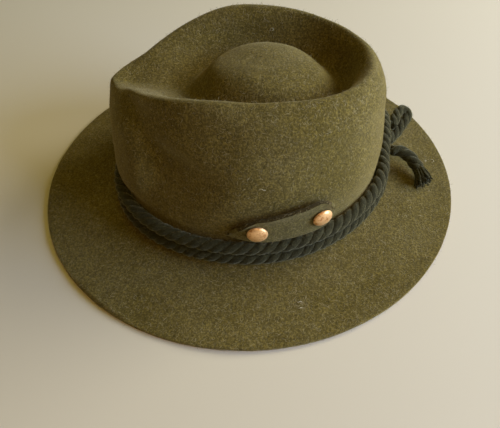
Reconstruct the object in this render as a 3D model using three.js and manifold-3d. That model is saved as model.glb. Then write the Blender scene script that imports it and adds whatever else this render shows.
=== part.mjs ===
import * as THREE from "three";
import { mergeVertices } from "three/addons/utils/BufferGeometryUtils.js";
import Module from "manifold-3d";

// Fedora of wool felt with a twisted cord wound double round the crown, a felt side tab and
// two domed studs.
// Millimetres, +Z up, the brim rests on z = 0. The front of the hat faces -Y and the
// wearer's left side faces +X. A place round the hat is given as degrees from the front
// over the wearer's left: 0 front, 90 left, 180 back, 270 right.

const TURN = Math.PI * 2;
const GAP = 0.3; // air left between neighbouring pieces

// Sizes of the felt
const FELT = 2.5; // thickness of the felt
const EDGE_ROUND = 0.6; // rounding of the raw brim edge
const FELT_COLUMNS = 60;
const SEARCH = { rounds: 16, halvings: 24, damping: 0.6 }; // for finding places on the wall

// Outer skin of brim and crown, one row for each section from the brim edge to the dome.
// wide: half width. yFront, yWide, yBack: front end, widest place, back end.
// tip, heel: above 1 draws that end to a point, below 1 makes it fuller.
// zFront, zSide, zBack: heights. steps: rows of the mesh up to the next section.
const SECTIONS = [
  { name: "brimEdge", wide: 156.4, yFront: -159.6, yWide: 2, yBack: 160, tip: 1, heel: 1,
    zFront: 2.5, zSide: 2.5, zBack: 2.5, steps: 1 },
  { name: "brimFlat", wide: 138, yFront: -142, yWide: 2, yBack: 142, tip: 1, heel: 1,
    zFront: 2.5, zSide: 2.5, zBack: 2.5, steps: 1 },
  { name: "brimRise", wide: 114, yFront: -120.5, yWide: 2, yBack: 125, tip: 0.97, heel: 1,
    zFront: 4.6, zSide: 4.6, zBack: 4.6, steps: 1 },
  { name: "break", wide: 92.6, yFront: -97, yWide: 3, yBack: 104.9, tip: 0.87, heel: 1.08,
    zFront: 7.4, zSide: 7.4, zBack: 7.4, steps: 2 },
  { name: "bandLow", wide: 88.5, yFront: -91.6, yWide: 4, yBack: 101.3, tip: 0.8, heel: 1.14,
    zFront: 11.6, zSide: 11.6, zBack: 11.6, steps: 1 },
  { name: "bandHigh", wide: 87.8, yFront: -90.8, yWide: 4, yBack: 101, tip: 0.79, heel: 1.12,
    zFront: 27, zSide: 27, zBack: 27, steps: 1 },
  { name: "overBand", wide: 88.1, yFront: -97.2, yWide: 3.2, yBack: 101.2, tip: 0.88, heel: 1.04,
    zFront: 35, zSide: 35, zBack: 35, steps: 1 },
  { name: "sideWall", wide: 87.6, yFront: -96.4, yWide: 2, yBack: 101.4, tip: 0.93, heel: 0.95,
    zFront: 50, zSide: 53, zBack: 53, steps: 2 },
  { name: "upperWall", wide: 79.1, yFront: -97.2, yWide: 3.8, yBack: 98.5, tip: 1.28, heel: 0.93,
    zFront: 75, zSide: 82, zBack: 80, steps: 2 },
  { name: "shoulder", wide: 71.1, yFront: -92, yWide: 12.4, yBack: 96.7, tip: 1.57, heel: 0.93,
    zFront: 89, zSide: 98.3, zBack: 94.6, steps: 3 },
  { name: "ridge", wide: 58.7, yFront: -84.8, yWide: -2.8, yBack: 87.3, tip: 1.49, heel: 0.9,
    zFront: 87.4, zSide: 114.5, zBack: 108.3, steps: 2 },
  { name: "lip", wide: 50.7, yFront: -77.5, yWide: 19, yBack: 78.9, tip: 1.46, heel: 0.89,
    zFront: 85.4, zSide: 109.1, zBack: 103.2, steps: 2 },
  { name: "innerWall", wide: 46.5, yFront: -62, yWide: 16, yBack: 76, tip: 1.4, heel: 0.93,
    zFront: 85.2, zSide: 97.5, zBack: 94, steps: 2 },
  { name: "groove", wide: 40, yFront: -37, yWide: 20, yBack: 68.5, tip: 1.1, heel: 0.97,
    zFront: 84.5, zSide: 88.5, zBack: 86, steps: 2 },
  { name: "domeFoot", wide: 34, yFront: -28, yWide: 18, yBack: 60.5, tip: 1, heel: 1,
    zFront: 91, zSide: 96.5, zBack: 93, steps: 2 },
  { name: "domeTop", wide: 24, yFront: -17, yWide: 17, yBack: 50, tip: 0.95, heel: 0.95,
    zFront: 102, zSide: 105.5, zBack: 103, steps: 1 },
];
const DOME_PEAK = new THREE.Vector3(0, 18, 108.5);
// The pair of thumb dents that run down both front sides of the crown. Their valley bends to
// the front above and below bendAt.
const DENT = {
  y: -46, z: 68, frontY: 13, rearY: 32, upZ: 21, downZ: 30, deep: 15, fullFrom: 30,
  bendAt: 68, bendUp: 0.03, bendDown: 0.012,
};

// Sizes of the cord
const CORD_RADIUS = 4.8;
const CORD_SLACK = 0.6; // room for the facets of crown and cord
const CORD_SIDES = 10;
const TURN_LOW = 13.1; // height of the middle of the lower turn
const TURN_HIGH = 23.2;
const HUG = { from: 236, to: 542, steps: 50 }; // places where both turns hug the crown
// Behind the crown the upper turn swings out over the loop and comes back to its start.
const UPPER_SWING = [
  { x: -14, y: 107.4, z: 24.2 },
  { x: -25, y: 108.4, z: 25.4 },
  { x: -37, y: 108.7, z: 26.3 },
  { x: -49, y: 107.8, z: 26.4 },
  { x: -60, y: 103.8, z: 25.6 },
  { x: -70, y: 95.2, z: 24.5 },
  { x: -77.5, y: 84.2, z: 23.7 },
  { x: -83.2, y: 71.6, z: 23.3 },
];
const SWING_STEPS = 14;
// A loop of the same cord comes out from under that swing: its upper leg, fold and lower leg.
const FREE_RADIUS = 4.3; // the free stretches of the cord
const LOOP_PATH = [
  { x: -46.9, y: 116, z: 18 },
  { x: -55, y: 118.6, z: 18.8 },
  { x: -62.7, y: 121.3, z: 19.2 },
  { x: -68.9, y: 125.2, z: 18.6 },
  { x: -70, y: 129.4, z: 16.9 },
  { x: -66.6, y: 130.6, z: 14.8 },
  { x: -61.2, y: 128.2, z: 13 },
  { x: -55.4, y: 124.8, z: 11.6 },
  { x: -49.2, y: 121, z: 9.8 },
  { x: -43, y: 116.8, z: 9.5 },
  { x: -37.5, y: 113.2, z: 10.3 },
];
const LOOP_STEPS = 26;
// One end of the cord comes out below the upper turn and arches over the brim.
const TAIL_PATH = [
  { x: -16.5, y: 113.4, z: 18.2 },
  { x: -17.3, y: 119.2, z: 18.3 },
  { x: -16, y: 123.9, z: 17.3 },
  { x: -13, y: 128.5, z: 15.5 },
  { x: -8.2, y: 132.4, z: 13.3 },
  { x: -3, y: 135.2, z: 11.8 },
];
const TAIL_STEPS = 14;
const KNOB = { radius: 6, neck: 4.5, length: 11, rounding: 2, waist: 0.5, sides: 14 };

// Sizes of the tab, one row for each station along it. at: place round the hat. low, high:
// lower and upper edge. off: how far the tab stands off the crown.
const TAB_THICK = 2.6;
const TAB_STATIONS = [
  { at: 93.1, low: 37, high: 38.5, off: 1.5 },
  { at: 95, low: 34.5, high: 42.5, off: 1.9 },
  { at: 98, low: 31.6, high: 47, off: 2.4 },
  { at: 102, low: 29.4, high: 50, off: 2.8 },
  { at: 107, low: 28.8, high: 52, off: 3 },
  { at: 114, low: 28.9, high: 54.2, off: 2.9 },
  { at: 121, low: 28.8, high: 55.5, off: 2.6 },
  { at: 127, low: 28.8, high: 56, off: 2.3 },
  { at: 131, low: 29.6, high: 53.8, off: 1.9 },
  { at: 133.8, low: 33.5, high: 49, off: 1.4 },
  { at: 135, low: 38.5, high: 43.5, off: 1 },
];
const TAB_ROWS = 26;
const TAB_CELLS = 4; // faces across the width of the tab

// Sizes of the studs. Cap, post and the back disc inside the crown are one piece.
const STUD = { radius: 6.9, lip: 0.8, dome: 3.2, arcSteps: 5, post: 1.6, sides: 20 };
const STUD_DISC = { radius: 4, thick: 1 };
const CAP_SEAT = 0.55; // air under the cap, which sits flat on the curved tab
const DISC_SEAT = 0.85; // air behind the crown wall
const DRILL = { length: 24, sides: 16 };
const STUDS = [
  { name: "stud_front", at: 102.4, height: 39.6 },
  { name: "stud_rear", at: 128.4, height: 42.6 },
];

const wasm = await Module();
wasm.setup();

function radians(degrees) {
  return (degrees * TURN) / 360;
}

function solid(geometry) {
  const loose = geometry.index ? geometry.toNonIndexed() : geometry;
  const plain = new THREE.BufferGeometry();
  plain.setAttribute("position", loose.getAttribute("position").clone());
  const merged = mergeVertices(plain, 1e-4);
  return new wasm.Manifold(
    new wasm.Mesh({
      numProp: 3,
      vertProperties: merged.attributes.position.array,
      triVerts: new Uint32Array(merged.index.array),
    }),
  );
}

function toGeometry(body) {
  const mesh = body.getMesh();
  const geometry = new THREE.BufferGeometry();
  geometry.setAttribute("position", new THREE.BufferAttribute(mesh.vertProperties, 3));
  geometry.setIndex(new THREE.BufferAttribute(mesh.triVerts, 1));
  return geometry;
}

// Joins a stack of rings of equal count into one skin and closes both ends at a pole.
function skin(rings, firstPole, lastPole) {
  const count = rings[0].length;
  const points = [...rings.flat(), firstPole, lastPole];
  const lastRow = (rings.length - 1) * count;
  const index = [];
  for (let k = 0; k < count; k += 1) {
    const next = (k + 1) % count;
    for (let row = 0; row < lastRow; row += count) {
      index.push(row + k, row + next, row + count + next);
      index.push(row + k, row + count + next, row + count + k);
    }
    index.push(next, k, points.length - 2);
    index.push(lastRow + k, lastRow + next, points.length - 1);
  }
  const geometry = new THREE.BufferGeometry().setFromPoints(points);
  geometry.setIndex(index);
  return geometry;
}

// Felt body
function sectionPoint(section, turn) {
  const c = Math.cos(turn);
  const s = Math.sin(turn);
  const yEnd = c > 0 ? section.yFront : section.yBack;
  const zEnd = c > 0 ? section.zFront : section.zBack;
  const power = c > 0 ? section.tip : section.heel;
  return new THREE.Vector3(
    section.wide * Math.sign(s) * Math.abs(s) ** power,
    section.yWide + (yEnd - section.yWide) * Math.abs(c),
    section.zSide + (zEnd - section.zSide) * c * c,
  );
}

function dented(point) {
  const bend = point.z < DENT.bendAt ? DENT.bendDown : DENT.bendUp;
  const offY = point.y - DENT.y + bend * (point.z - DENT.bendAt) ** 2;
  const offZ = point.z - DENT.z;
  const awayY = (offY / (offY < 0 ? DENT.frontY : DENT.rearY)) ** 2;
  const awayZ = (offZ / (offZ < 0 ? DENT.downZ : DENT.upZ)) ** 2;
  const side = THREE.MathUtils.clamp(point.x / DENT.fullFrom, -1, 1);
  point.x -= side * DENT.deep * Math.exp(-awayY - awayZ);
  return point;
}

// The line that runs up the outer skin, at one turn of the section's own parameter.
function risingCurve(turn) {
  const points = SECTIONS.map((section) => sectionPoint(section, turn));
  return new THREE.CatmullRomCurve3([...points, DOME_PEAK], false, "centripetal");
}

function outerRings() {
  const curves = [];
  for (let k = 0; k < FELT_COLUMNS; k += 1) {
    curves.push(risingCurve((TURN * k) / FELT_COLUMNS));
  }
  return SECTIONS.flatMap((section, row) => {
    const rings = [];
    for (let step = 0; step < section.steps; step += 1) {
      const along = (row + step / section.steps) / SECTIONS.length;
      rings.push(curves.map((curve) => dented(curve.getPoint(along))));
    }
    return rings;
  });
}

function edgeRing(ring, inset, z) {
  return ring.map((point) => {
    const shrink = 1 - inset / Math.hypot(point.x, point.y);
    return new THREE.Vector3(point.x * shrink, point.y * shrink, z);
  });
}

// One wall of even thickness: the inner skin follows the outer one, and the underside of the
// brim is flat from its edge to the place where the outer skin begins to rise.
function feltBody() {
  const outer = outerRings();
  const outside = skin(outer, new THREE.Vector3(0, 0, FELT), DOME_PEAK);
  outside.computeVertexNormals();
  const normals = outside.getAttribute("normal");
  const inner = outer.map((ring, row) =>
    ring.map((point, k) => {
      const normal = new THREE.Vector3().fromBufferAttribute(normals, row * ring.length + k);
      return point.clone().addScaledVector(normal, -FELT);
    }),
  );
  const [brimEdge, brimFlat] = outer;
  const rings = [
    ...inner.slice(2).reverse(),
    edgeRing(brimFlat, 0, 0),
    edgeRing(brimEdge, EDGE_ROUND, 0),
    edgeRing(brimEdge, 0, EDGE_ROUND),
    edgeRing(brimEdge, 0, FELT - EDGE_ROUND),
    edgeRing(brimEdge, EDGE_ROUND, FELT),
    ...outer.slice(1),
  ];
  const innerPeak = DOME_PEAK.clone().setZ(DOME_PEAK.z - FELT);
  return solid(skin(rings, innerPeak, DOME_PEAK));
}

// The point of the outer wall at a place round the hat and a height. The section's own turn
// is corrected in damped rounds until the point lies at that place.
function wallPoint(degrees, height) {
  const place = radians(degrees);
  const wallStart = SECTIONS.findIndex((section) => section.name === "bandLow") / SECTIONS.length;
  const wallEnd = SECTIONS.findIndex((section) => section.name === "shoulder") / SECTIONS.length;
  let turn = place;
  let point;
  for (let round = 0; round < SEARCH.rounds; round += 1) {
    const curve = risingCurve(turn);
    let low = wallStart;
    let high = wallEnd;
    for (let halving = 0; halving < SEARCH.halvings; halving += 1) {
      const middle = (low + high) / 2;
      if (curve.getPoint(middle).z < height) low = middle;
      else high = middle;
    }
    point = dented(curve.getPoint(low));
    const off = Math.atan2(point.x, -point.y) - place;
    turn -= SEARCH.damping * Math.atan2(Math.sin(off), Math.cos(off));
  }
  return point;
}

// The outward direction of the wall at the same place.
function wallNormal(degrees, height) {
  const along = wallPoint(degrees + 1, height).sub(wallPoint(degrees - 1, height));
  const up = wallPoint(degrees, height + 1).sub(wallPoint(degrees, height - 1));
  return along.cross(up).normalize();
}

function offWall(degrees, height, distance) {
  return wallPoint(degrees, height).addScaledVector(wallNormal(degrees, height), distance);
}

// Cords
function cord(points, radius, steps) {
  const shape = new THREE.Shape();
  shape.absarc(0, 0, radius, 0, TURN, false);
  const extrudePath = new THREE.CatmullRomCurve3(points, false, "centripetal");
  const curveSegments = CORD_SIDES / 2;
  return solid(new THREE.ExtrudeGeometry(shape, { steps, curveSegments, extrudePath }));
}

function vectors(table) {
  return table.map(({ x, y, z }) => new THREE.Vector3(x, y, z));
}

function turnPoint(degrees, height) {
  const out = wallNormal(degrees, height).setZ(0).normalize();
  return wallPoint(degrees, height).addScaledVector(out, CORD_RADIUS + GAP + CORD_SLACK);
}

// The stretch of a turn that hugs the crown.
function hug(height, to, steps) {
  const points = [];
  for (let step = 0; step <= steps; step += 1) {
    points.push(turnPoint(THREE.MathUtils.lerp(HUG.from, to, step / steps), height));
  }
  return points;
}

// The lower turn is a ring that stays open by one gap, behind the crown.
function lowerTurn() {
  const radius = turnPoint(HUG.from, TURN_LOW).length();
  const gapDegrees = (360 * GAP) / (TURN * radius);
  const steps = HUG.steps + SWING_STEPS;
  return cord(hug(TURN_LOW, HUG.from + 360 - gapDegrees, steps), CORD_RADIUS, steps);
}

function upperTurn() {
  const points = [...hug(TURN_HIGH, HUG.to, HUG.steps), ...vectors(UPPER_SWING)];
  const [start, second] = points;
  const forward = second.clone().sub(start).normalize();
  points.push(start.clone().addScaledVector(forward, -GAP));
  return cord(points, CORD_RADIUS, HUG.steps + SWING_STEPS);
}

// The thickened end of the tail, turned round the tail's own direction.
function tailKnob() {
  const [before, end] = vectors(TAIL_PATH).slice(-2);
  const along = end.clone().sub(before).normalize();
  const { radius, neck, length, rounding, waist, sides } = KNOB;
  const profile = [
    [0, 0],
    [neck, 0],
    [radius, rounding],
    [radius - waist, length / 2],
    [radius, length - rounding],
    [neck, length],
    [0, length],
  ];
  const lathe = new THREE.LatheGeometry(profile.map(([x, y]) => new THREE.Vector2(x, y)), sides);
  const turn = new THREE.Quaternion().setFromUnitVectors(new THREE.Vector3(0, 1, 0), along);
  const seat = end.clone().addScaledVector(along, GAP);
  return solid(lathe.applyQuaternion(turn).translate(seat.x, seat.y, seat.z));
}

// The tab is one layer of felt, lofted through rings of its inner and outer face.
function sideTab() {
  const through = (value) =>
    new THREE.CatmullRomCurve3(TAB_STATIONS.map(value), false, "centripetal");
  const edges = through((station) => new THREE.Vector3(station.at, station.low, station.high));
  const offs = through((station) => new THREE.Vector3(station.at, station.off, 0));
  const rings = [];
  for (let row = 0; row <= TAB_ROWS; row += 1) {
    const { x: at, y: low, z: high } = edges.getPoint(row / TAB_ROWS);
    const off = offs.getPoint(row / TAB_ROWS).y;
    const inside = [];
    const outside = [];
    for (let cell = 0; cell <= TAB_CELLS; cell += 1) {
      const height = THREE.MathUtils.lerp(low, high, cell / TAB_CELLS);
      inside.push(offWall(at, height, off));
      outside.unshift(offWall(at, height, off + TAB_THICK));
    }
    rings.push([...inside, ...outside]);
  }
  const middle = (ring) => {
    const half = TAB_CELLS / 2;
    return ring[half].clone().lerp(ring[TAB_CELLS + 1 + half], 0.5);
  };
  return solid(skin(rings, middle(rings[0]), middle(rings[TAB_ROWS])));
}

function tabOff(at) {
  const next = TAB_STATIONS.findIndex((station) => station.at > at);
  const [a, b] = [TAB_STATIONS[next - 1], TAB_STATIONS[next]];
  return THREE.MathUtils.mapLinear(at, a.at, b.at, a.off, b.off);
}

// Turns a geometry made along +Y into the outward direction of the wall at one place.
function placed(geometry, { at, height }) {
  const up = new THREE.Vector3(0, 1, 0);
  const turn = new THREE.Quaternion().setFromUnitVectors(up, wallNormal(at, height));
  const spot = wallPoint(at, height);
  return solid(geometry.applyQuaternion(turn).translate(spot.x, spot.y, spot.z));
}

function stud(place) {
  const capFoot = tabOff(place.at) + TAB_THICK + CAP_SEAT;
  const discTop = -FELT - DISC_SEAT;
  const profile = [
    [0, discTop - STUD_DISC.thick],
    [STUD_DISC.radius, discTop - STUD_DISC.thick],
    [STUD_DISC.radius, discTop],
    [STUD.post, discTop],
    [STUD.post, capFoot],
    [STUD.radius - STUD.lip, capFoot],
  ];
  for (let step = 0; step < STUD.arcSteps; step += 1) {
    const turn = radians((90 * step) / STUD.arcSteps);
    const rise = STUD.lip + STUD.dome * Math.sin(turn);
    profile.push([STUD.radius * Math.cos(turn), capFoot + rise]);
  }
  profile.push([0, capFoot + STUD.lip + STUD.dome]);
  const points = profile.map(([x, y]) => new THREE.Vector2(x, y));
  return placed(new THREE.LatheGeometry(points, STUD.sides), place);
}

// The holes that the stud posts pass through.
function pierced(body) {
  const radius = STUD.post + GAP;
  return STUDS.reduce((left, place) => {
    const drill = new THREE.CylinderGeometry(radius, radius, DRILL.length, DRILL.sides);
    return left.subtract(placed(drill, place));
  }, body);
}

const feltLook = { color: 0x5a5030, roughness: 0.95, metalness: 0 };
const cordLook = { color: 0x30332a, roughness: 0.9, metalness: 0 };
const studLook = { color: 0xc07a48, roughness: 0.28, metalness: 1 };

const hat = new THREE.Group();
hat.name = "fedora";
function add(name, body, look) {
  const mesh = new THREE.Mesh(toGeometry(body), new THREE.MeshStandardMaterial(look));
  mesh.name = name;
  hat.add(mesh);
}
add("felt_body", pierced(feltBody()), feltLook);
add("band_turn_lower", lowerTurn(), cordLook);
add("band_turn_upper", upperTurn(), cordLook);
add("cord_loop", cord(vectors(LOOP_PATH), FREE_RADIUS, LOOP_STEPS), cordLook);
add("cord_tail", cord(vectors(TAIL_PATH), FREE_RADIUS, TAIL_STEPS), cordLook);
add("tail_knob", tailKnob(), cordLook);
add("side_tab", pierced(sideTab()), feltLook);
for (const place of STUDS) {
  add(place.name, stud(place), studLook);
}

export default hat;
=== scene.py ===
import math

import bmesh
import bpy
import numpy as np
from mathutils import Matrix, Vector


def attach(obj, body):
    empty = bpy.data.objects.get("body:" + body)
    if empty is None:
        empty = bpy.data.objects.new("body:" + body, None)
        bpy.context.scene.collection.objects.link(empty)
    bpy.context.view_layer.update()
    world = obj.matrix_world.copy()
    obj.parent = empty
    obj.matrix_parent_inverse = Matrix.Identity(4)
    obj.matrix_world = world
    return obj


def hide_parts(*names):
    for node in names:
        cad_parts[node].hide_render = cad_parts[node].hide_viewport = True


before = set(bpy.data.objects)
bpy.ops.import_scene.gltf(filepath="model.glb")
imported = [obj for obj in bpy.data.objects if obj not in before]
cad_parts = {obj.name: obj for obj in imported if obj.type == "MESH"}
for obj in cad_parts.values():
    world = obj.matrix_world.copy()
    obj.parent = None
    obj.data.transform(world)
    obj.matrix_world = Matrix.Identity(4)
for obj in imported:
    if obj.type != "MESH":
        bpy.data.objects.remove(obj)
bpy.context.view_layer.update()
print("frame loaded,", len(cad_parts), "solids")

mm = 0.001
turnWhole = math.tau


def onlySelect(*pieces):
    bpy.ops.object.select_all(action="DESELECT")
    for piece in pieces:
        piece.select_set(True)
    bpy.context.view_layer.objects.active = pieces[-1]


def editMode(piece):
    onlySelect(piece)
    bpy.ops.object.mode_set(mode="EDIT")
    bpy.ops.mesh.select_all(action="DESELECT")


def objectMode():
    bpy.ops.object.mode_set(mode="OBJECT")


def modify(piece, kind, **settings):
    onlySelect(piece)
    modifier = piece.modifiers.new(kind.title(), kind)
    for key, value in settings.items():
        setattr(modifier, key, value)
    bpy.ops.object.modifier_apply(modifier=modifier.name)


def meshPiece(name, points, faces, uvs):
    mesh = bpy.data.meshes.new(name)
    mesh.from_pydata(points.tolist(), [], faces.tolist())
    layer = mesh.uv_layers.new(name="along")
    layer.data.foreach_set("uv", uvs[faces.ravel()].astype(np.float32).ravel())
    piece = bpy.data.objects.new(name, mesh)
    bpy.context.scene.collection.objects.link(piece)
    return piece


def unit(vectors):
    return vectors / np.linalg.norm(vectors, axis=-1, keepdims=True)


def fade(value, start, span):
    return np.clip((value - start) / span, 0, 1)


# Shared lines

def sectionLine(row, turn):
    wide, yFront, yWide, yBack, tip, heel, zFront, zSide, zBack = row[:9]
    c, s = np.cos(turn), np.sin(turn)
    yEnd = np.where(c > 0, yFront, yBack)
    zEnd = np.where(c > 0, zFront, zBack)
    power = np.where(c > 0, tip, heel)
    x = wide * np.sign(s) * np.abs(s) ** power
    return np.stack([x, yWide + (yEnd - yWide) * np.abs(c), zSide + (zEnd - zSide) * c * c], -1)


# A smooth line through points, or through whole rows of points at once
def smoothThrough(points, steps, closed=False):
    count = len(points)
    spans = count if closed else count - 1
    out = []
    for i in range(spans):
        p1, p2 = points[i], points[(i + 1) % count]
        p0 = points[i - 1] if (i or closed) else 2 * p1 - p2
        p3 = points[(i + 2) % count] if (i + 2 < count or closed) else 2 * p2 - p1
        d0, d1, d2 = (
            np.maximum(np.sum((b - a) ** 2, -1, keepdims=True), 1e-12) ** 0.25
            for a, b in ((p0, p1), (p1, p2), (p2, p3))
        )
        m1 = ((p1 - p0) / d0 - (p2 - p0) / (d0 + d1) + (p2 - p1) / d1) * d1
        m2 = ((p2 - p1) / d1 - (p3 - p1) / (d1 + d2) + (p3 - p2) / d2) * d1
        number = steps[i] if hasattr(steps, "__len__") else steps
        for k in range(number):
            u = k / number
            out.append(
                (2 * u**3 - 3 * u**2 + 1) * p1 + (u**3 - 2 * u**2 + u) * m1
                + (3 * u**2 - 2 * u**3) * p2 + (u**3 - u**2) * m2
            )
    if not closed:
        out.append(points[-1])
    return np.array(out)


# Felt body

felt = {
    "columns": 288, "nearColumns": 22,
    "thick": 2.5,
    "edgeRound": 0.5, "edgeSteps": 3,
    "halfWide": 156.4, "halfLong": 159.8, "midY": 0.2,  # outline of the brim
    "peak": (0, 18, 108.5),
    "dentY": -46, "dentFront": 13, "dentRear": 32,
    "dentZ": 68, "dentUp": 21, "dentDown": 30, "dentDeep": 15, "dentFullFrom": 30,
    "bendAt": 68, "bendUp": 0.03, "bendDown": 0.012,  # the valley bends to the front
    "waves": ((70, 0.5), (26, 0.22)),  # size and depth of the unevenness in mm
    "sines": 5, "brimShare": 0.45, "brimLift": 0.4,
    "wavesFrom": 58, "wavesOut": 118, "brimUnder": 5, "peakCalm": 6, "waveFade": 10,
    "seed": 11,
}
# Sections of the outer skin from the brim edge to the dome, in mm: half width, y at front,
# widest place and back, fullness at front and back, z at front, side and back, rows above
feltSections = [
    (156.4, -159.6, 2, 160, 1, 1, 2.5, 2.5, 2.5, 6),
    (138, -142, 2, 142, 1, 1, 2.5, 2.5, 2.5, 8),
    (114, -120.5, 2, 125, 0.97, 1, 4.6, 4.6, 4.6, 7),
    (92.6, -97, 3, 104.9, 0.87, 1.08, 7.4, 7.4, 7.4, 3),
    (88.5, -91.6, 4, 101.3, 0.8, 1.14, 11.6, 11.6, 11.6, 5),
    (87.8, -90.8, 4, 101, 0.79, 1.12, 27, 27, 27, 4),
    (88.1, -97.2, 3.2, 101.2, 0.88, 1.04, 35, 35, 35, 6),
    (87.6, -96.4, 2, 101.4, 0.93, 0.95, 50, 53, 53, 10),
    (79.1, -97.2, 3.8, 98.5, 1.28, 0.93, 75, 82, 80, 7),
    (71.1, -92, 12.4, 96.7, 1.57, 0.93, 89, 98.3, 94.6, 9),
    (58.7, -84.8, -2.8, 87.3, 1.49, 0.9, 87.4, 114.5, 108.3, 5),
    (50.7, -77.5, 19, 78.9, 1.46, 0.89, 85.4, 109.1, 103.2, 5),
    (46.5, -62, 16, 76, 1.4, 0.93, 85.2, 97.5, 94, 5),
    (40, -37, 20, 68.5, 1.1, 0.97, 84.5, 88.5, 86, 4),
    (34, -28, 18, 60.5, 1, 1, 91, 96.5, 93, 5),
    (24, -17, 17, 50, 0.95, 0.95, 102, 105.5, 103, 8),
]


def dented(points):
    rise = points[..., 2] - felt["bendAt"]
    bend = np.where(rise < 0, felt["bendDown"], felt["bendUp"]) * rise**2
    offY = points[..., 1] - felt["dentY"] + bend
    offZ = points[..., 2] - felt["dentZ"]
    away = (offY / np.where(offY < 0, felt["dentFront"], felt["dentRear"])) ** 2
    away += (offZ / np.where(offZ < 0, felt["dentDown"], felt["dentUp"])) ** 2
    side = np.clip(points[..., 0] / felt["dentFullFrom"], -1, 1)
    pushed = points.copy()
    pushed[..., 0] -= side * felt["dentDeep"] * np.exp(-away)
    return pushed


def feltRings():
    turn = np.linspace(0, turnWhole, felt["columns"], endpoint=False)
    rows = [sectionLine(row, turn) for row in feltSections]
    rows.append(np.tile(np.array(felt["peak"], float), (felt["columns"], 1)))
    return dented(smoothThrough(np.array(rows), [row[9] for row in feltSections])) * mm


wallRings = feltRings()
rowOf = np.cumsum([0] + [row[9] for row in feltSections])
bandRow, shoulderRow = rowOf[4], rowOf[9]


def wallPoint(degrees, height):
    near, middle = felt["nearColumns"], round(degrees / 360 * felt["columns"])
    columns = np.arange(middle - near, middle + near + 1) % felt["columns"]
    wall = wallRings[bandRow:shoulderRow + 1][:, columns]
    line = np.array([
        [np.interp(height * mm, wall[:, k, 2], wall[:, k, axis]) for axis in range(3)]
        for k in range(len(columns))
    ])
    around = np.unwrap(np.arctan2(line[:, 0], -line[:, 1]))
    place = math.radians(degrees)
    place += turnWhole * round((around.mean() - place) / turnWhole)
    return np.array([np.interp(place, around, line[:, axis]) for axis in range(3)])


def wallNormal(degrees, height):
    along = wallPoint(degrees + 1, height) - wallPoint(degrees - 1, height)
    up = wallPoint(degrees, height + 1) - wallPoint(degrees, height - 1)
    return unit(np.cross(along, up))


# Felt is never quite even: low waves, kept away from cord and tab, which lie close to the wall
def unevenness(points):
    pick = np.random.default_rng(felt["seed"])
    out = np.zeros(points.shape[:-1])
    for size, depth in felt["waves"]:
        for k in range(felt["sines"]):
            way = pick.normal(size=3)
            way *= turnWhole / (size * mm) / np.linalg.norm(way)
            out += depth * mm / 2 * np.sin(points @ way + pick.uniform(0, turnWhole))
    height = points[..., 2] / mm
    outer = np.hypot(points[..., 0], points[..., 1]) / mm
    fromPeak = np.linalg.norm(points / mm - felt["peak"], axis=-1)
    crown = fade(height, felt["wavesFrom"], 12) * fade(fromPeak, felt["peakCalm"], felt["waveFade"])
    brim = fade(outer, felt["wavesOut"], felt["waveFade"]) * (1 - fade(height, felt["brimUnder"], 1))
    # the brim rests on the floor, so it hardly sinks
    return out * crown + (felt["brimShare"] * out + felt["brimLift"] * mm) * brim


def makeFelt():
    rings = wallRings[:-1]
    bpy.ops.mesh.primitive_circle_add(
        vertices=felt["columns"], radius=felt["halfWide"] * mm, fill_type="NOTHING")
    shell = bpy.context.object
    shell.name = "felt_shell"
    onlySelect(shell)
    bpy.ops.object.mode_set(mode="EDIT")
    bpy.ops.mesh.select_all(action="SELECT")
    bm = bmesh.from_edit_mesh(shell.data)
    column = bm.verts.layers.int.new("column")
    for vert in bm.verts:
        around = math.atan2(vert.co.x, -vert.co.y) % turnWhole
        vert[column] = round(around / turnWhole * felt["columns"]) % felt["columns"]
        vert.co = rings[0][vert[column]]
    bmesh.update_edit_mesh(shell.data)
    for ring in rings[1:]:
        bpy.ops.mesh.extrude_edges_move()
        bm = bmesh.from_edit_mesh(shell.data)
        column = bm.verts.layers.int["column"]
        for vert in bm.verts:
            if vert.select:
                vert.co = ring[vert[column]]
    bpy.ops.mesh.edge_face_add()  # the dome's last ring is closed round its peak
    bpy.ops.mesh.poke()
    objectMode()
    return shell


shell = makeFelt()
places = np.array([vert.co for vert in shell.data.vertices])
outward = np.array([vert.normal for vert in shell.data.vertices])
places += outward * unevenness(places)[:, None]
shell.data.vertices.foreach_set("co", places.ravel())
shell.data.update()
modify(shell, "SOLIDIFY", thickness=felt["thick"] * mm, offset=-1)
editMode(shell)
bm = bmesh.from_edit_mesh(shell.data)
for edge in bm.edges:
    share = min(
        math.hypot(
            vert.co.x / (felt["halfWide"] * mm),
            (vert.co.y - felt["midY"] * mm) / (felt["halfLong"] * mm),
        )
        for vert in edge.verts
    )
    if share > 0.997 and edge.calc_face_angle(0) > 1:  # the two edges of the brim's rim
        edge.select = True
bmesh.update_edit_mesh(shell.data)
bpy.ops.mesh.bevel(offset=felt["edgeRound"] * mm, segments=felt["edgeSteps"])
objectMode()
bpy.ops.object.shade_smooth()
print("felt body", len(shell.data.polygons), "faces")


# Cord

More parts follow.
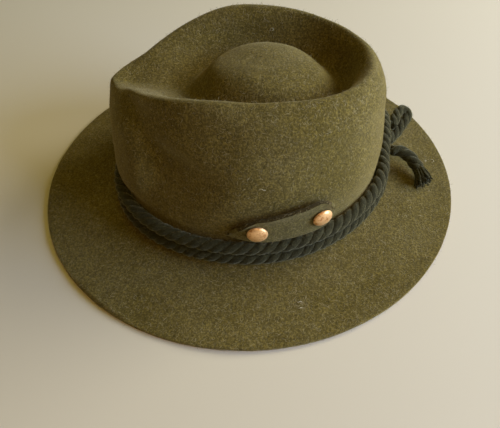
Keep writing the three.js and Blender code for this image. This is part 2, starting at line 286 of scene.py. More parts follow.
rope = {
    "radius": 4.8, "freeRadius": 4.3, "stand": 5.7, "lowHeight": 13.1, "highHeight": 23.2,
    "hugFrom": 236, "hugTo": 542, "hugSteps": 50, "roundSteps": 64, "smooth": 12,
    "pitch": 24, "step": 1.1, "sides": 22, "yarns": 7, "yarnDeep": 0.022, "yarnTurn": 1.7,
    "strand": 0.575,  # radius of a strand as a share of the rope's
    "strandFlat": 0.98, "strandWide": 1.06, "endShare": 0.55,
    "wander": (31, 19, 12, 8.5), "wanderSize": 0.03, "wanderTurn": 0.07,
    "fuzz": 0.03, "loosen": 0.16,
}
upperSwing = [
    (-14, 107.4, 24.2), (-25, 108.4, 25.4), (-37, 108.7, 26.3), (-49, 107.8, 26.4),
    (-60, 103.8, 25.6), (-70, 95.2, 24.5), (-77.5, 84.2, 23.7), (-83.2, 71.6, 23.3),
]
loopPath = [
    (-46.9, 116, 18), (-55, 118.6, 18.8), (-62.7, 121.3, 19.2), (-68.9, 125.2, 18.6),
    (-70, 129.4, 16.9), (-66.6, 130.6, 14.8), (-61.2, 128.2, 13), (-55.4, 124.8, 11.6),
    (-49.2, 121, 9.8), (-43, 116.8, 9.5), (-37.5, 113.2, 10.3),
]
tailPath = [
    (-16.5, 113.4, 18.2), (-17.3, 119.2, 18.3), (-16, 123.9, 17.3), (-13, 128.5, 15.5),
    (-8.2, 132.4, 13.3), (-3, 135.2, 11.8),
]


def turnPoint(degrees, height):
    out = unit(wallNormal(degrees, height) * (1, 1, 0))
    return wallPoint(degrees, height) + out * rope["stand"] * mm


def hugging(height, stop, steps):
    places = np.linspace(rope["hugFrom"], stop, steps + 1)
    return [turnPoint(place % 360, height) for place in places]


def evenly(line, step, closed):
    if closed:
        line = np.vstack([line, line[:1]])
    run = np.concatenate([[0], np.cumsum(np.linalg.norm(np.diff(line, axis=0), axis=1))])
    count = max(8, round(run[-1] / step))
    at = np.linspace(0, run[-1], count + 1)
    even = np.stack([np.interp(at, run, line[:, axis]) for axis in range(3)], -1)
    return (even[:-1] if closed else even), run[-1]


def waver(at, length, seed, waves, depth):
    pick = np.random.default_rng(seed)
    out = np.zeros_like(at)
    for number in waves:
        out += np.sin(turnWhole * number * at / length + pick.uniform(0, turnWhole))
    return depth * out / math.sqrt(len(waves))


def strandRope(name, path, radius, closed=False, swell=None, seed=1):
    line = smoothThrough(np.array(path), rope["smooth"], closed)
    centre, length = evenly(line, rope["step"] * mm, closed)
    count = len(centre)
    at = np.arange(count) * length / (count if closed else count - 1)
    before = np.roll(centre, 1, 0)
    after = np.roll(centre, -1, 0)
    if not closed:
        before[0], after[-1] = centre[0], centre[-1]
    ahead = unit(after - before)
    sideways = unit(np.cross(ahead, (0, 0, 1)))
    upward = np.cross(ahead, sideways)
    turns = length / (rope["pitch"] * mm)
    if closed:
        turns = round(turns)
    big = np.full(count, radius * mm) if swell is None else radius * mm * swell(at / length)
    strand = big * rope["strand"]
    offset = big - strand
    points, faces, uvs = [], [], []
    sides = rope["sides"]
    phi = np.arange(sides) * turnWhole / sides
    waves = [round(length / (size * mm)) for size in rope["wander"]]
    pick = np.random.default_rng(seed + 50)
    for k in range(3):
        wobble = 1 + waver(at, length, seed * 10 + k, waves, rope["wanderSize"])
        theta = -turnWhole * (turns * at / length + k / 3)
        theta += waver(at, length, seed * 10 + k + 5, waves[:2], rope["wanderTurn"])
        reach = np.cos(theta)[:, None] * sideways + np.sin(theta)[:, None] * upward
        middle = centre + reach * offset[:, None]
        go = np.roll(middle, -1, 0) - np.roll(middle, 1, 0)
        if not closed:
            go[0], go[-1] = middle[1] - middle[0], middle[-1] - middle[-2]
        go = unit(go)
        outward = unit(reach - np.sum(reach * go, 1, keepdims=True) * go)
        across = np.cross(go, outward)
        twisted = turnWhole * (turns * at / length)[:, None]
        lobes = rope["yarns"] * phi[None, :] + rope["yarnTurn"] * twisted
        rough = 1 + pick.normal(0, rope["fuzz"], lobes.shape)
        size = strand[:, None] * wobble[:, None] * rough * (1 + rope["yarnDeep"] * np.cos(lobes))
        ring = (
            middle[:, None]
            + (size * np.cos(phi) * rope["strandFlat"])[..., None] * outward[:, None]
            + (size * np.sin(phi) * rope["strandWide"])[..., None] * across[:, None]
        )
        if not closed:
            for end in (0, -1):
                ring[end] = middle[end] + (ring[end] - middle[end]) * rope["endShare"]
        start = len(points) * sides
        points.extend(ring)
        rows = np.arange(count if closed else count - 1)
        nextRows = (rows + 1) % count
        cols = np.arange(sides)
        nextCols = (cols + 1) % sides
        quad = np.stack([
            rows[:, None] * sides + cols[None], rows[:, None] * sides + nextCols[None],
            nextRows[:, None] * sides + nextCols[None], nextRows[:, None] * sides + cols[None],
        ], -1).reshape(-1, 4)
        faces.append(quad + start)
        uvs.append(np.stack([
            np.tile(np.abs(phi / math.pi - 1), count),
            np.repeat(at / (turnWhole * radius * 0.5 * mm), sides),
        ], -1))
    piece = meshPiece(name, np.concatenate(points), np.concatenate(faces), np.concatenate(uvs))
    editMode(piece)
    if not closed:
        bpy.ops.mesh.select_all(action="SELECT")
        bpy.ops.mesh.fill_holes(sides=sides)
    objectMode()
    bpy.ops.object.shade_smooth()
    print(name, "length", round(length / mm), "mm,", len(piece.data.polygons), "faces")
    return piece


lowerPath = hugging(rope["lowHeight"], rope["hugFrom"] + 360, rope["roundSteps"])[:-1]
upperPath = hugging(rope["highHeight"], rope["hugTo"], rope["hugSteps"])
upperPath += list(np.array(upperSwing) * mm)
turnLower = strandRope("cord_turn_lower", lowerPath, rope["radius"], closed=True, seed=1)
turnUpper = strandRope("cord_turn_upper", upperPath, rope["radius"], closed=True, seed=2)
loop = strandRope("cord_loop_twist", np.array(loopPath) * mm, rope["freeRadius"], seed=3)
tail = strandRope(
    "cord_tail_twist", np.array(tailPath) * mm, rope["freeRadius"], seed=4,
    swell=lambda share: 1 + rope["loosen"] * fade(share, 0, 0.5),  # the twist loosens to the end
)


# Side tab

tab = {
    "thick": 2.6, "stationSteps": 6, "cells": 18, "edgeRound": 0.3,
    "curl": 3, "curlFrom": 0.58, "curlPower": 2.3,  # the upper edge bends away from the crown
    "heldAt": (102.4, 128.4), "heldWide": 4, "heldBack": 0.45,  # less so beside the studs
    "fullCurlHeight": 14,
}
# place round the hat, lower and upper edge, stand off the crown
tabStations = [
    (90.2, 34.6, 35.4, 1.6), (92.6, 33.4, 39.6, 1.8), (95, 32.2, 43.4, 2), (98, 30.8, 47.2, 2.4),
    (102, 29.4, 50, 2.8), (107, 28.8, 52, 3), (114, 28.9, 54.2, 2.9), (121, 28.8, 55.5, 2.6),
    (127, 28.8, 56, 2.3),
    (131, 29.6, 53.8, 1.9), (133.8, 33.5, 49, 1.4), (135, 38.5, 43.5, 1),
]


def makeTab():
    rows = smoothThrough(np.array(tabStations, float), tab["stationSteps"])
    cells = tab["cells"]
    bpy.ops.mesh.primitive_grid_add(x_subdivisions=len(rows) - 1, y_subdivisions=cells, size=2)
    piece = bpy.context.object
    piece.name = "side_tab_felt"
    for vert in piece.data.vertices:
        row = round((vert.co.x + 1) / 2 * (len(rows) - 1))
        share = (vert.co.y + 1) / 2
        at, low, high, off = rows[row]
        height = low + (high - low) * share
        curl = max(0, (share - tab["curlFrom"]) / (1 - tab["curlFrom"])) ** tab["curlPower"]
        held = max(math.exp(-(((at - place) / tab["heldWide"]) ** 2)) for place in tab["heldAt"])
        curl *= tab["curl"] * min(1, (high - low) / tab["fullCurlHeight"])
        curl *= 1 - tab["heldBack"] * held
        vert.co = wallPoint(at, height) + wallNormal(at, height) * (off + curl) * mm
    modify(piece, "SOLIDIFY", thickness=tab["thick"] * mm, offset=1)
    modify(
        piece, "BEVEL",
        width=tab["edgeRound"] * mm, segments=2, limit_method="ANGLE", angle_limit=1,
    )
    onlySelect(piece)
    bpy.ops.object.shade_smooth()
    return piece


sideTab = makeTab()
print("tab", len(sideTab.data.polygons), "faces")


# Studs

stud = {
    "radius": 6.9, "lip": 0.8, "dome": 3, "post": 1.6, "disc": 4, "discThick": 1,
    "capSeat": 0.55, "discSeat": 0.85, "sides": 56, "arcSteps": 10,
    "holeRoom": 0.3, "drillLong": 24, "drillSides": 24,
}
# name, solid that it replaces, place round the hat and height
studPlaces = [
    ("stud_front_cap", "stud_front", 102.4, 39.6),
    ("stud_rear_cap", "stud_rear", 128.4, 42.6),
]


def onWall(piece, at, height):
    out = Vector(wallNormal(at, height))
    spot = Vector(wallPoint(at, height))
    turned = out.to_track_quat("Z", "Y").to_matrix().to_4x4()
    piece.data.transform(Matrix.Translation(spot) @ turned)


def makeStud(name, at, height):
    off = np.interp(at, [row[0] for row in tabStations], [row[3] for row in tabStations])
    foot = (off + tab["thick"] + stud["capSeat"]) * mm
    under = -(felt["thick"] + stud["discSeat"]) * mm
    rings = [
        (stud["disc"] * mm, under - stud["discThick"] * mm), (stud["disc"] * mm, under),
        (stud["post"] * mm, under), (stud["post"] * mm, foot),
        ((stud["radius"] - stud["lip"]) * mm, foot),
    ]
    for step in range(stud["arcSteps"] + 1):
        turn = math.pi / 2 * step / (stud["arcSteps"] + 0.5)
        rings.append((
            stud["radius"] * mm * math.cos(turn),
            foot + (stud["lip"] + stud["dome"] * math.sin(turn)) * mm,
        ))
    radius, level = rings[0]
    bpy.ops.mesh.primitive_circle_add(
        vertices=stud["sides"], radius=radius, fill_type="NGON", location=(0, 0, level))
    piece = bpy.context.object
    piece.name = name
    bpy.ops.object.transform_apply(location=True)
    bpy.ops.object.mode_set(mode="EDIT")
    bpy.ops.mesh.select_all(action="SELECT")
    for nextRadius, nextLevel in rings[1:]:
        bpy.ops.mesh.extrude_region_move(
            TRANSFORM_OT_translate={"value": (0, 0, nextLevel - level)})
        scale = nextRadius / radius
        bpy.ops.transform.resize(value=(scale, scale, 1))
        radius, level = nextRadius, nextLevel
    bpy.ops.mesh.select_all(action="SELECT")
    bpy.ops.mesh.normals_make_consistent(inside=False)
    objectMode()
    onWall(piece, at, height)
    bpy.ops.object.shade_smooth_by_angle(angle=math.radians(40))
    return piece


studs = [makeStud(name, at, height) for name, node, at, height in studPlaces]
print("studs made")


# The posts pass through round holes in tab and crown
for name, node, at, height in studPlaces:
    for piece in (shell, sideTab):
        bpy.ops.mesh.primitive_cylinder_add(
            vertices=stud["drillSides"], radius=(stud["post"] + stud["holeRoom"]) * mm,
            depth=stud["drillLong"] * mm)
        drill = bpy.context.object
        onWall(drill, at, height)
        modify(piece, "BOOLEAN", object=drill, operation="DIFFERENCE", solver="MANIFOLD")
        bpy.data.objects.remove(drill)
print("posts have their holes")


# Frayed end of the loose cord: yarns that spread and turn down over the brim

fray = {
    "yarns": 92, "length": 12, "back": 2.5, "thick": 0.64, "sides": 6, "steps": 8, "spread": 2.8,
    "start": 4.1, "turn": (0.9, 0.22, -0.3), "wave": 0.55, "seed": 21, "lowest": 4,
    "angleStray": 0.3, "lengths": (0.8, 1.08), "turnBy": 1.3, "spreadPower": 1.4,
    "bows": 0.7, "lowestStray": 0.5, "thicks": (0.8, 1.2), "taper": 0.25,
}
goldenAngle = 2.39996


# Tubes along many lines at once; lines is (count, steps, 3) and thick a radius for each point
def tubes(name, lines, thick, sides):
    count, steps = lines.shape[:2]
    ahead = unit(np.gradient(lines, axis=1))
    helper = np.where(np.abs(ahead[..., 2:]) < 0.8, (0, 0, 1.0), (1.0, 0, 0))
    side = unit(np.cross(ahead, helper))
    up = np.cross(ahead, side)
    phi = np.arange(sides) * turnWhole / sides
    ring = np.cos(phi)[:, None] * side[:, :, None] + np.sin(phi)[:, None] * up[:, :, None]
    points = lines[:, :, None] + ring * thick[:, :, None, None]
    first = np.arange(count)[:, None, None] * steps * sides + np.arange(steps - 1)[:, None] * sides
    column = np.arange(sides)
    follow = (column + 1) % sides
    faces = np.stack([
        first + column, first + follow, first + sides + follow, first + sides + column,
    ], -1)
    along = (np.arange(steps) / 4)[None, :, None] + np.arange(count)[:, None, None]
    uvs = np.stack(np.broadcast_arrays((column / sides)[None, None], along), -1)
    piece = meshPiece(name, points.reshape(-1, 3), faces.reshape(-1, 4), uvs.reshape(-1, 2))
    editMode(piece)
    bpy.ops.mesh.select_all(action="SELECT")
    bpy.ops.mesh.fill_holes(sides=sides)
    bpy.ops.mesh.normals_make_consistent(inside=False)
    objectMode()
    bpy.ops.object.shade_smooth()
    return piece


def makeFray():
    pick = np.random.default_rng(fray["seed"])
    end, before = np.array(tailPath[-1], float), np.array(tailPath[-2], float)
    ahead = unit(end - before)
    turned = unit(np.array(fray["turn"]))
    count, steps = fray["yarns"], fray["steps"]
    share = np.linspace(0, 1, steps)
    # spread evenly over the round section
    reach = np.sqrt((np.arange(count) + 0.5) / count)
    stray = fray["angleStray"]
    angle = np.arange(count) * goldenAngle + pick.uniform(-stray, stray, count)
    side = unit(np.cross(ahead, (0, 0, 1)))
    up = np.cross(side, ahead)
    out = (reach * np.cos(angle))[:, None] * side + (reach * np.sin(angle))[:, None] * up
    length = fray["length"] * pick.uniform(*fray["lengths"], count)
    along = share * (length + fray["back"])[:, None]
    way = ahead + (turned - ahead) * np.clip(share * fray["turnBy"], 0, 1)[:, None]
    middle = np.cumsum(unit(way), axis=0) / steps
    lines = end - ahead * fray["back"] + middle[None] * along[:, -1][:, None, None]
    wide = fray["start"] + fray["spread"] * share ** fray["spreadPower"]
    lines = lines + out[:, None] * wide[:, None]
    wave = pick.normal(size=(count, 3)) * fray["wave"]
    bow = np.sin(share * turnWhole * fray["bows"])[None, :] * share
    lines += wave[:, None] * bow[..., None]
    lowest = fray["lowest"] + pick.uniform(0, fray["lowestStray"], count)
    lines[..., 2] = np.maximum(lines[..., 2], lowest[:, None])
    thick = fray["thick"] * pick.uniform(*fray["thicks"], count)[:, None]
    thick = thick * (1 - fray["taper"] * share**3)
    return tubes("cord_end_frayed", lines * mm, thick * mm, fray["sides"])


frayedEnd = makeFray()
print("frayed end", len(frayedEnd.data.polygons), "faces")


# Loose hairs: thin ribbons of two bends, each lying along the surface or standing up a little

hair = {
    "worn": (121, 50, 7), "wornMore": 2.5,  # a rubbed place on the brim: x, y and size in mm
    "felt": {
        "count": 40000, "long": (1.4, 4), "wide": (0.08, 0.17), "lift": 0.35, "standing": 0.16,
    },
    "tab": {
        "count": 1800, "long": (1.2, 3), "wide": (0.07, 0.13), "lift": 0.3, "standing": 0.2,
    },
    "cord": {
        "count": 44000, "long": (1, 3), "wide": (0.07, 0.14), "lift": 0.45, "standing": 0.25,
    },
    "rooted": 0.05, "tip": 0.4, "bend": 0.3, "overFloor": 0.1,
    "standRise": (0.3, 0.8), "standLong": 0.6,  # as a share of the hair's length
    "standTilt": 0.3,
}
# where hairs grow on the felt body, in mm, and how steep the felt may be there
hairZones = {
    "brimFrom": 2.4, "rimUnder": 2.6, "rimSlope": -0.3, "rimShare": 0.2, "crownFrom": 8,
    "grooveReach": 52, "grooveSquash": 0.75, "outSlope": 0.05, "upSlope": 0.4, "levelSlope": 0.2,
    "steepShare": 0.5,
}


def spread(pieces, count, seed, keep=None):
    pick = np.random.default_rng(seed)
    corners = []
    for piece in pieces:
        mesh = piece.data
        mesh.calc_loop_triangles()
        where = np.empty(len(mesh.vertices) * 3, np.float32)
        mesh.vertices.foreach_get("co", where)
        index = np.empty(len(mesh.loop_triangles) * 3, np.int32)
        mesh.loop_triangles.foreach_get("vertices", index)
        corners.append(where.reshape(-1, 3)[index.reshape(-1, 3)])
    corners = np.concatenate(corners).astype(float)
    cross = np.cross(corners[:, 1] - corners[:, 0], corners[:, 2] - corners[:, 0])
    area = np.linalg.norm(cross, axis=1)
    normals = cross / np.maximum(area, 1e-15)[:, None]
    if keep is not None:
        area = area * keep(corners.mean(1), normals)
    chosen = pick.choice(len(area), count, p=area / area.sum())
    first, second = pick.random((2, count, 1))
    over = first + second > 1
    first, second = np.where(over, 1 - first, first), np.where(over, 1 - second, second)
    a, b, c = corners[chosen, 0], corners[chosen, 1], corners[chosen, 2]
    return a + first * (b - a) + second * (c - a), normals[chosen]


def hairs(name, roots, normals, kind, seed):
    pick = np.random.default_rng(seed)
    sort, count = hair[kind], len(roots)
    way = pick.normal(size=(count, 3))
    way = unit(way - np.sum(way * normals, 1, keepdims=True) * normals)
    across = np.cross(normals, way)
    length = pick.uniform(*sort["long"], (count, 1)) * mm
    rise = np.abs(pick.normal(0, sort["lift"], (count, 1))) * mm
    standing = pick.random((count, 1)) < sort["standing"]
    rise = np.where(standing, length * pick.uniform(*hair["standRise"], (count, 1)), rise)
    length = np.where(standing, length * hair["standLong"], length)
    bend = pick.normal(0, hair["bend"], (count, 1)) * length
    wide = pick.uniform(*sort["wide"], (count, 1)) * mm / 2
    # a flat ribbon for a lying hair, an upright one for a standing hair
    broad = unit(np.where(standing, way + normals * hair["standTilt"], across)) * wide
    line = [
        roots - normals * hair["rooted"] * mm,
        roots + way * length * 0.5 + across * bend + normals * rise * 0.8,
        roots + way * length + across * bend * 0.3 + normals * rise,
    ]
    points = np.stack([
        line[0] - broad, line[0] + broad, line[1] - broad, line[1] + broad,
        line[2] - broad * hair["tip"], line[2] + broad * hair["tip"],
    ], 1)
    # none goes through the floor
    points[..., 2] = np.maximum(points[..., 2], hair["overFloor"] * mm)
    start = np.arange(count)[:, None] * 6
    faces = np.concatenate([start + (0, 1, 3, 2), start + (2, 3, 5, 4)])
    uvs = np.repeat(pick.random((count, 2)), 6, 0)
    return meshPiece(name, points.reshape(-1, 3), faces, uvs)


# Share of hairs by place: on all that shows, more on level felt and at the rubbed place, few at
# the rim and none on the inside and underside
def outerSide(places, normals):
    zone = hairZones
    x, y, z = (places / mm).T
    out = np.sum(normals * unit(places * (1, 1, 0) + (0, 0, 1e-6)), 1)
    inGroove = np.hypot(x, y * zone["grooveSquash"]) < zone["grooveReach"]
    outerWall = (out > zone["outSlope"]) | (normals[:, 2] > zone["upSlope"])
    crown = (z > zone["crownFrom"]) & ~inGroove
    facing = np.where(crown, outerWall, normals[:, 2] > zone["levelSlope"])
    lying = zone["steepShare"] + np.clip(normals[:, 2], 0, 1)
    wornX, wornY, size = hair["worn"]
    far = np.hypot(x - wornX, y - wornY) / size
    lying *= 1 + hair["wornMore"] * np.exp(-(far**2))
    rim = (z < zone["rimUnder"]) & (normals[:, 2] > zone["rimSlope"])
    return np.where((z > zone["brimFrom"]) & facing, lying, 0.0) + np.where(rim, zone["rimShare"], 0)


roots, normals = spread([shell], hair["felt"]["count"], 31, outerSide)
feltHairs = hairs("felt_hairs", roots, normals, "felt", 32)
roots, normals = spread([sideTab], hair["tab"]["count"], 33)
tabHairs = hairs("tab_hairs", roots, normals, "tab", 34)
roots, normals = spread([turnLower, turnUpper, loop, tail, frayedEnd], hair["cord"]["count"], 35)
cordHairs = hairs("cord_hairs", roots, normals, "cord", 36)
print("hairs", sum(len(piece.data.polygons) for piece in (feltHairs, tabHairs, cordHairs)), "faces")


# Lint: pale curled threads caught on the felt

lint = {
    "thick": 0.11, "sides": 5, "steps": 14, "wander": 0.35, "low": 0.3, "arch": 0.9, "seed": 41,
}
# place, length, curl in turns
lintPlaces = [
    (81.4, 25, 68.4, 6, 0.5), (-47.8, 16.6, 101.3, 7, 0.7), (-21.9, 148.2, 2.5, 6, 0.4),
    (-24, 145, 2.5, 4, 0.6), (119, 48, 3.3, 4, 0.3), (123, 52, 3.1, 3, 0.4),
]


def makeLint():
    pick = np.random.default_rng(lint["seed"])
    lines = []
    for x, y, z, length, curl in lintPlaces:
        found, spot, normal, face = shell.closest_point_on_mesh(Vector((x, y, z)) * mm)
        normal, spot = np.array(normal), np.array(spot)
        first = unit(np.cross(normal, pick.normal(size=3)))
        second = np.cross(normal, first)
        share = np.linspace(0, 1, lint["steps"])
        turn = turnWhole * curl * share + np.cumsum(pick.normal(0, lint["wander"], lint["steps"]))
        step = np.cos(turn)[:, None] * first + np.sin(turn)[:, None] * second
        path = np.cumsum(step, axis=0) * length / lint["steps"] * mm
        rise = (lint["low"] + lint["arch"] * np.sin(share * math.pi))[:, None] * normal * mm
        lines.append(spot + path + rise)
    lines = np.array(lines)
    return tubes("lint_threads", lines, np.full(lines.shape[:2], lint["thick"] * mm), lint["sides"])


lintThreads = makeLint()


# Finishes

def material(name):
    made = bpy.data.materials.new(name)
    made.use_nodes = True
    tree = made.node_tree
    return made, tree, tree.nodes["Principled BSDF"]


def addNode(tree, kind, **inputs):
    node = tree.nodes.new(kind)
    for key, value in inputs.items():
        node.inputs[key.replace("_", " ")].default_value = value
    return node


def ramp(tree, source, stops):
    node = tree.nodes.new("ShaderNodeValToRGB")
    elements = node.color_ramp.elements
    while len(elements) < len(stops):
        elements.new(0.5)
    for element, (place, color) in zip(elements, stops):
        element.position = place
        element.color = (*color, 1)
    tree.links.new(source, node.inputs["Fac"])
    return node.outputs["Color"]


def grey(value):
    return (value, value, value)


def noiseOn(tree, vector, scale, detail=3, rough=0.5, twist=0):
    node = addNode(
        tree, "ShaderNodeTexNoise", Scale=scale, Detail=detail, Roughness=rough, Distortion=twist)
    tree.links.new(vector, node.inputs["Vector"])
    return node.outputs["Fac"]


def mixed(tree, kind, amount, first, second):
    node = tree.nodes.new("ShaderNodeMix")
    node.data_type = "RGBA"
    node.blend_type = kind
    for place, value in ((0, amount), (6, first), (7, second)):
        socket = node.inputs[place]
        if hasattr(value, "is_output"):
            tree.links.new(value, socket)
        else:
            socket.default_value = value if isinstance(value, (int, float)) else (*value, 1)
    return node.outputs[2]


def feltFinish(name, dark, light, fleck):
    made, tree, shader = material(name)
    place = tree.nodes.new("ShaderNodeTexCoord").outputs["Object"]
    cloudy = noiseOn(tree, place, 24, 3, 0.55)
    patchy = noiseOn(tree, place, 190, 4, 0.6)
    grain = noiseOn(tree, place, 780, 4, 0.65, 0.5)
    color = ramp(tree, cloudy, [(0.35, dark), (0.65, light)])
    patches = ramp(tree, patchy, [(0.3, grey(0.84)), (0.7, grey(1.17))])
    color = mixed(tree, "MULTIPLY", 1.0, color, patches)
    fuzzy = ramp(tree, grain, [(0.3, grey(0.44)), (0.5, grey(0.92)), (0.7, grey(1.95))])
    color = mixed(tree, "MULTIPLY", 1.0, color, fuzzy)
    fibres = None
    for turn in (0.4, 1.5, 2.6):
        mapping = addNode(
            tree, "ShaderNodeMapping", Rotation=(turn, turn * 0.7, turn), Scale=(1500, 260, 1500))
        tree.links.new(place, mapping.inputs["Vector"])
        lines = noiseOn(tree, mapping.outputs["Vector"], 1, 2, 0.5, 0.6)
        fibres = lines if fibres is None else mixed(tree, "LIGHTEN", 1.0, fibres, lines)
    color = mixed(tree, "MIX", ramp(tree, fibres, [(0.66, grey(0)), (0.8, grey(0.55))]), color, fleck)
    tree.links.new(color, shader.inputs["Base Color"])
    height = mixed(tree, "ADD", 0.6, grain, fibres)
    bump = addNode(tree, "ShaderNodeBump", Strength=0.7, Distance=0.0005)
    tree.links.new(height, bump.inputs["Height"])
    tree.links.new(bump.outputs["Normal"], shader.inputs["Normal"])
    shader.inputs["Roughness"].default_value = 0.95
    shader.inputs["Specular IOR Level"].default_value = 0.15
    shader.inputs["Sheen Weight"].default_value = 0.35
    shader.inputs["Sheen Roughness"].default_value = 0.45
    shader.inputs["Sheen Tint"].default_value = (0.75, 0.66, 0.4, 1)
    return made


def cordFinish():
    made, tree, shader = material("cord_yarn")
    place = tree.nodes.new("ShaderNodeTexCoord")
    patchy = noiseOn(tree, place.outputs["Object"], 260, 3, 0.6)
    mapping = addNode(tree, "ShaderNodeMapping", Rotation=(0, 0, 0.5), Scale=(26, 5, 1))
    tree.links.new(place.outputs["UV"], mapping.inputs["Vector"])
    yarn = noiseOn(tree, mapping.outputs["Vector"], 1, 3, 0.55, 0.3)
    fuzz = noiseOn(tree, place.outputs["Object"], 1100, 3, 0.6)
    color = ramp(tree, yarn, [(0.3, (0.0145, 0.013, 0.0045)), (0.7, (0.04, 0.038, 0.0175))])
    patches = ramp(tree, patchy, [(0.3, grey(0.7)), (0.7, grey(1.35))])
    color = mixed(tree, "MULTIPLY", 1.0, color, patches)
    fuzzy = ramp(tree, fuzz, [(0.34, grey(0.6)), (0.66, grey(1.45))])
    color = mixed(tree, "MULTIPLY", 1.0, color, fuzzy)
    tree.links.new(color, shader.inputs["Base Color"])
    bump = addNode(tree, "ShaderNodeBump", Strength=0.7, Distance=0.0005)
    tree.links.new(mixed(tree, "ADD", 0.7, yarn, fuzz), bump.inputs["Height"])
    tree.links.new(bump.outputs["Normal"], shader.inputs["Normal"])
    shader.inputs["Roughness"].default_value = 0.9
    shader.inputs["Specular IOR Level"].default_value = 0.2
    shader.inputs["Sheen Weight"].default_value = 0.5
    shader.inputs["Sheen Roughness"].default_value = 0.4
    shader.inputs["Sheen Tint"].default_value = (0.72, 0.7, 0.5, 1)
    return made


def hairFinish(name, dark, pale):
    made, tree, shader = material(name)
    place = tree.nodes.new("ShaderNodeTexCoord")
    pick = noiseOn(tree, place.outputs["UV"], 40, 1, 0.5)
    tree.links.new(ramp(tree, pick, [(0.4, dark), (0.62, pale)]), shader.inputs["Base Color"])
    shader.inputs["Roughness"].default_value = 0.8
    shader.inputs["Specular IOR Level"].default_value = 0.2
    return made


def copperFinish():
    made, tree, shader = material("stud_copper")
    place = tree.nodes.new("ShaderNodeTexCoord").outputs["Object"]
    spots = noiseOn(tree, place, 460, 3, 0.65)
    color = ramp(tree, spots, [(0.36, (0.62, 0.24, 0.07)), (0.48, (1, 0.6, 0.28))])
    tree.links.new(color, shader.inputs["Base Color"])
    bump = addNode(tree, "ShaderNodeBump", Strength=0.3, Distance=0.0003)
    tree.links.new(spots, bump.inputs["Height"])
    tree.links.new(bump.outputs["Normal"], shader.inputs["Normal"])
    shader.inputs["Metallic"].default_value = 0.45
    shader.inputs["Roughness"].default_value = 0.42
    shader.inputs["Specular IOR Level"].default_value = 0.8
    return made


feltMade = feltFinish(
    "felt_olive", dark=(0.107, 0.081, 0.018), light=(0.133, 0.104, 0.032), fleck=(0.33, 0.285, 0.16))
tabMade = feltFinish(
    "tab_felt_olive", dark=(0.084, 0.069, 0.021), light=(0.116, 0.098, 0.034), fleck=(0.29, 0.25, 0.13))
# The tab's cut upper edge gets the same felt made far darker: painted shade for the shadowed gap behind
# the curled edge
tabEdgeShadeMade = feltFinish(
    "tab_cut_painted_shade", dark=(0.028, 0.019, 0.006), light=(0.04, 0.029, 0.01), fleck=(0.09, 0.07, 0.03))
cordMade = cordFinish()
copperMade = copperFinish()
feltHairMade = hairFinish("felt_hair", (0.11, 0.088, 0.03), (0.4, 0.35, 0.22))
cordHairMade = hairFinish("cord_hair", (0.02, 0.0185, 0.008), (0.15, 0.145, 0.08))
lintMade = hairFinish("lint_pale", (0.6, 0.56, 0.44), (0.8, 0.76, 0.62))


# Pieces take the place of the plain solids

def dress(piece, made, slot, *nodes):
    piece.data.materials.clear()
    piece.data.materials.append(made)
    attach(piece, "root")
    if nodes:
        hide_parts(*nodes)


dress(shell, feltMade, "felt", "felt_body")
dress(turnLower, cordMade, "cord", "band_turn_lower")
dress(turnUpper, cordMade, "cord", "band_turn_upper")
dress(loop, cordMade, "cord", "cord_loop")
dress(tail, cordMade, "cord", "cord_tail")
dress(sideTab, tabMade, "tab_felt", "side_tab")
sideTab.data.materials.append(tabEdgeShadeMade)
# The upward-facing faces of the cut edge take the dark finish, which is painted shade
editMode(sideTab)
bm = bmesh.from_edit_mesh(sideTab.data)
for face in bm.faces:
    middle = face.calc_center_median()
    out = Vector((middle.x, middle.y, 0)).normalized()
    face.select = abs(face.normal.dot(out)) < 0.7 and face.normal.z > 0.25  # the cut upper edge
bmesh.update_edit_mesh(sideTab.data)
sideTab.active_material_index = 1
bpy.ops.object.material_slot_assign()
objectMode()
for piece, (name, node, at, height) in zip(studs, studPlaces):
    dress(piece, copperMade, "stud_copper", node)
dress(frayedEnd, cordMade, "cord", "tail_knob")
dress(feltHairs, feltHairMade, "felt")
dress(tabHairs, feltHairMade, "tab_felt")
dress(cordHairs, cordHairMade, "cord")
dress(lintThreads, lintMade, "felt")


# Floor, light and camera

floorDrop = 0.3  # in mm, just under the lowest place of the brim
bpy.ops.mesh.primitive_plane_add(size=8, location=(0, 0, -floorDrop * mm))
floor = bpy.context.object
floor.name = "floor"
floorMade, floorTree, floorShader = material("floor_plain")
floorShader.inputs["Base Color"].default_value = (0.68, 0.63, 0.57, 1)
floorShader.inputs["Roughness"].default_value = 0.9
floor.data.materials.append(floorMade)

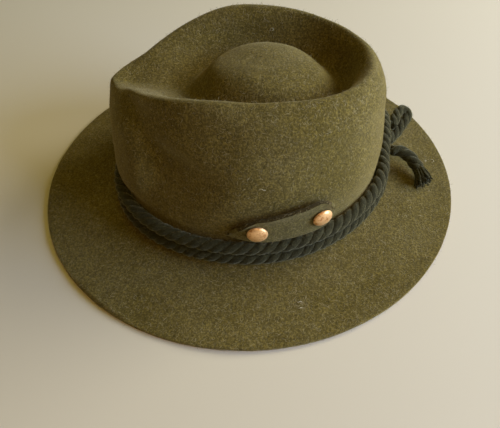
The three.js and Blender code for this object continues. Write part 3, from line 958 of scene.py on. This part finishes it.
world = bpy.data.worlds.new("studio")
bpy.context.scene.world = world
world.use_nodes = True
world.node_tree.nodes["Background"].inputs["Color"].default_value = (1, 0.55, 0.15, 1)
world.node_tree.nodes["Background"].inputs["Strength"].default_value = 0.01


def softLight(name, place, aim, size, power, color):
    bpy.ops.object.light_add(type="AREA", location=place)
    lamp = bpy.context.object
    lamp.name = name
    lamp.rotation_mode = "QUATERNION"
    lamp.rotation_quaternion = (Vector(aim) - Vector(place)).to_track_quat("-Z", "Y")
    lamp.data.shape = "DISK"
    lamp.data.size = size
    lamp.data.energy = power
    lamp.data.color = color


softLight("window_light", (0.3, 1.4, 0.56), (0, 0, 0.05), 1.0, 29, (0.63, 0.77, 1))
softLight("back_light", (-0.7, 1.2, 0.8), (0, 0, 0.05), 0.9, 18.2, (1, 0.95, 0.74))
softLight("warm_light", (0.9, 0.1, 1.3), (0, 0, 0.05), 0.8, 3.9, (1, 0.6, 0.18))
softLight("near_light", (1.05, 0.9, 0.8), (0, 0, 0.05), 0.8, 2.3, (1, 0.82, 0.15))
softLight("left_light", (-0.6, -0.3, 1.4), (0, 0, 0.05), 0.8, 2.3, (1, 1, 0.2))

view = {
    "azimuth": 99.473, "elevation": 48.849, "distance": 0.39479, "roll": -3.568,
    "target": (0.04421, 0.00799, 0.00182), "lens": 37.44,
}


def placeCamera():
    azimuth, elevation = math.radians(view["azimuth"]), math.radians(view["elevation"])
    back = Vector((
        math.sin(azimuth) * math.cos(elevation), -math.cos(azimuth) * math.cos(elevation),
        math.sin(elevation),
    ))
    bpy.ops.object.camera_add(location=Vector(view["target"]) + back * view["distance"])
    camera = bpy.context.object
    right = Vector((0, 0, 1)).cross(back).normalized()
    up = back.cross(right)
    roll = math.radians(view["roll"])
    across = right * math.cos(roll) + up * math.sin(roll)
    upright = up * math.cos(roll) - right * math.sin(roll)
    camera.rotation_mode = "QUATERNION"
    camera.rotation_quaternion = Matrix((across, upright, back)).transposed().to_quaternion()
    camera.data.sensor_width = 36
    camera.data.lens = view["lens"]
    camera.data.clip_start, camera.data.clip_end = 0.01, 50
    bpy.context.scene.camera = camera


placeCamera()
bpy.context.scene.view_settings.view_transform = "Standard"

print("scene made")
